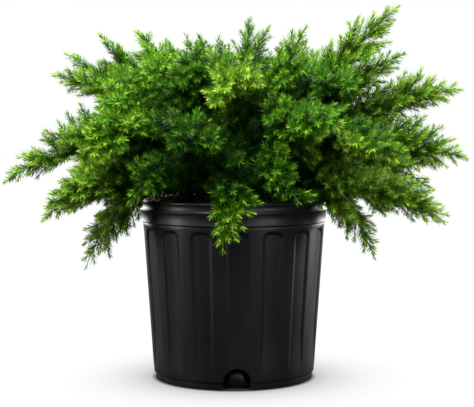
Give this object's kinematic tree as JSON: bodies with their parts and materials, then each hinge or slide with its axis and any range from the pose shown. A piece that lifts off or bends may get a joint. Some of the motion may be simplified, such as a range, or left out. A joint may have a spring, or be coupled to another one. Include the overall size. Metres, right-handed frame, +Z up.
{
  "type": "potted conifer",
  "caption": "Spreading conifer shrub with arching, feathery sprays of short needles on a short trunk, growing in a round fluted plastic nursery pot.",
  "frame": {"origin": "centre of the pot's flat underside", "axes": "+Z up along the pot's axis; -Y is the front, where a hanging spray crosses the rim; +X to the right seen from the front"},
  "size_m": [0.5719, 0.4578, 0.4559],
  "materials": {
    "black_plastic": "satin moulded plastic, near black",
    "potting_mix": "damp shredded bark mix, matt",
    "bark": "thin flaking reddish-brown bark, matt",
    "needles_deep": "deep green needles, slightly waxy",
    "needles_mid": "mid green needles, slightly waxy",
    "needles_green": "fresh green needles, slightly waxy",
    "needles_bright": "bright yellow-green young needles, slightly waxy"
  },
  "bodies": {
    "root": {"bough_low_01": "bark", "bough_low_02": "bark", "bough_low_03": "bark", "bough_low_04": "bark", "bough_low_05": "bark", "bough_side_15": "bark", "bough_side_16": "bark", "bough_side_17": "bark", "bough_side_18": "bark", "bough_side_19": "bark", "bough_side_20": "bark", "bough_side_21": "bark", "bough_side_22": "bark", "bough_side_23": "bark", "bough_skirt_06": "bark", "bough_skirt_07": "bark", "bough_skirt_08": "bark", "bough_skirt_09": "bark", "bough_skirt_10": "bark", "bough_skirt_11": "bark", "bough_skirt_12": "bark", "bough_skirt_13": "bark", "bough_skirt_14": "bark", "foliage_low_01": "needles_deep", "foliage_low_02": "needles_deep", "foliage_low_03": "needles_deep", "foliage_low_04": "needles_deep", "foliage_low_05": "needles_deep", "foliage_side_15": "needles_green", "foliage_side_16": "needles_green", "foliage_side_17": "needles_green", "foliage_side_18": "needles_green", "foliage_side_19": "needles_green", "foliage_side_20": "needles_green", "foliage_side_21": "needles_green", "foliage_side_22": "needles_green", "foliage_side_23": "needles_green", "foliage_skirt_06": "needles_mid", "foliage_skirt_07": "needles_mid", "foliage_skirt_08": "needles_mid", "foliage_skirt_09": "needles_mid", "foliage_skirt_10": "needles_mid", "foliage_skirt_11": "needles_mid", "foliage_skirt_12": "needles_mid", "foliage_skirt_13": "needles_mid", "foliage_skirt_14": "needles_mid", "foliage_top_24": "needles_bright", "foliage_top_25": "needles_bright", "foliage_top_26": "needles_bright", "foliage_top_27": "needles_bright", "foliage_top_28": "needles_bright", "foliage_top_29": "needles_bright", "foliage_top_30": "needles_bright", "foliage_top_31": "needles_bright", "foliage_top_32": "needles_bright", "foliage_top_33": "needles_bright", "pot": "black_plastic", "soil": "potting_mix", "trunk": "bark"}
  },
  "joints": []
}
